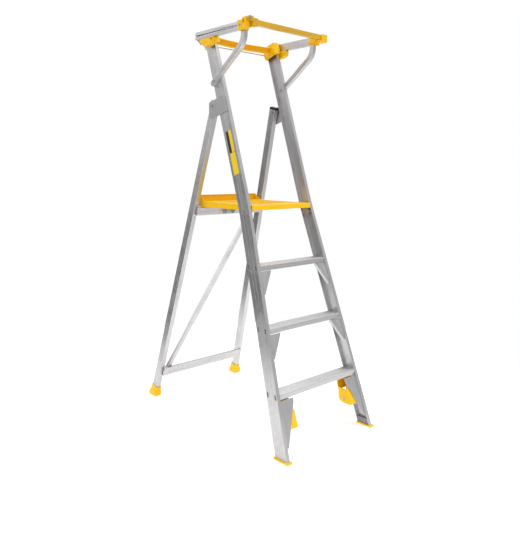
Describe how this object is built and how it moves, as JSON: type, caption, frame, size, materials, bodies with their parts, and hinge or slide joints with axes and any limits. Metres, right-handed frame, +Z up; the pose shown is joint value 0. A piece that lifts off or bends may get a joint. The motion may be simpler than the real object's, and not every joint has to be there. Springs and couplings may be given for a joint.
{
  "type": "step ladder",
  "caption": "Folding platform step ladder with splayed aluminium stiles, ribbed treads, a yellow platform, a waist-high guard ring with a lifting gate, and a braced rear frame.",
  "frame": {"origin": "centre of the footprint on the floor", "axes": "+Z up, -Y the side it is climbed from, +X to the right of a person facing +Y"},
  "size_m": [0.663, 1.184, 2.099],
  "materials": {
    "aluminium": "extruded, satin",
    "yellow_plastic": "moulded, fine grain",
    "grip": "moulded cleats",
    "wheel": "moulded, fine grain",
    "label": "printed film",
    "black_plastic": "moulded",
    "grey_plastic": "moulded",
    "steel": "zinc plated"
  },
  "bodies": {
    "front_frame": {"front_stile_left": "aluminium", "front_stile_right": "aluminium", "step_1": "aluminium", "step_2": "aluminium", "step_3": "aluminium", "step_ferrules": "aluminium", "gussets_left": "aluminium", "gussets_right": "aluminium", "foot_brace_left": "aluminium", "foot_brace_right": "aluminium", "front_foot_left": "yellow_plastic", "front_foot_right": "yellow_plastic", "foot_insert_left": "grey_plastic", "foot_insert_right": "grey_plastic", "wheel_housing_left": "yellow_plastic", "wheel_housing_right": "yellow_plastic", "wheel_axles": "steel", "cap_left": "yellow_plastic", "cap_right": "yellow_plastic", "belly_bar": "yellow_plastic", "tie_rod": "steel", "side_rail_left": "aluminium", "side_rail_right": "aluminium", "corner_left": "yellow_plastic", "corner_right": "yellow_plastic", "arm_left": "aluminium", "arm_right": "aluminium", "arm_bolts": "steel", "hinge_plate_left": "steel", "hinge_plate_right": "steel", "hinge_bolts": "steel", "hinge_rivets": "aluminium", "platform_bracket_left": "steel", "platform_bracket_right": "steel", "platform_bolts": "steel", "platform_pins": "steel", "label_upper": "label", "label_lower": "label", "gate_pin": "steel", "frame_rivets": "aluminium"},
    "rear_frame": {"rear_leg_left": "aluminium", "rear_leg_right": "aluminium", "leg_cap_left": "black_plastic", "leg_cap_right": "black_plastic", "upper_crossbar": "aluminium", "lower_crossbar": "aluminium", "diagonal_brace": "aluminium", "rear_foot_left": "yellow_plastic", "rear_foot_right": "yellow_plastic", "rear_rivets": "aluminium", "platform_keeper": "steel", "hinge_bushes": "grey_plastic"},
    "platform": {"platform_deck": "yellow_plastic", "deck_grip": "grip", "deck_tongue": "aluminium"},
    "gate": {"gate_bar": "yellow_plastic"},
    "latch": {"latch_pin": "black_plastic"},
    "wheel_left": {"wheel_left": "wheel"},
    "wheel_right": {"wheel_right": "wheel"}
  },
  "joints": [
    {"name": "rear_frame_fold", "type": "hinge", "parent": "front_frame", "child": "rear_frame", "pos_m": [0, 0.10139, 1.695], "axis": [-1, 0, 0], "range_deg": [0, 33.3]},
    {"name": "platform_fold", "type": "hinge", "parent": "front_frame", "child": "platform", "pos_m": [0, -0.157, 1.163], "axis": [1, 0, 0], "range_deg": [0, 71.8]},
    {"name": "gate_lift", "type": "hinge", "parent": "front_frame", "child": "gate", "pos_m": [-0.258, -0.217, 2.086], "axis": [0, -1, 0], "range_deg": [0, 90]},
    {"name": "latch_pull", "type": "slide", "parent": "front_frame", "child": "latch", "axis": [1, 0, 0], "range_m": [0, 0.008]},
    {"name": "wheel_left_spin", "type": "hinge", "parent": "front_frame", "child": "wheel_left", "pos_m": [-0.231, -0.484, 0.155], "axis": [1, 0, 0], "continuous": true},
    {"name": "wheel_right_spin", "type": "hinge", "parent": "front_frame", "child": "wheel_right", "pos_m": [0.231, -0.484, 0.155], "axis": [1, 0, 0], "continuous": true}
  ],
  "couplings": [
    {"joint": "platform_fold", "follows": "rear_frame_fold", "ratio": 2.155}
  ]
}
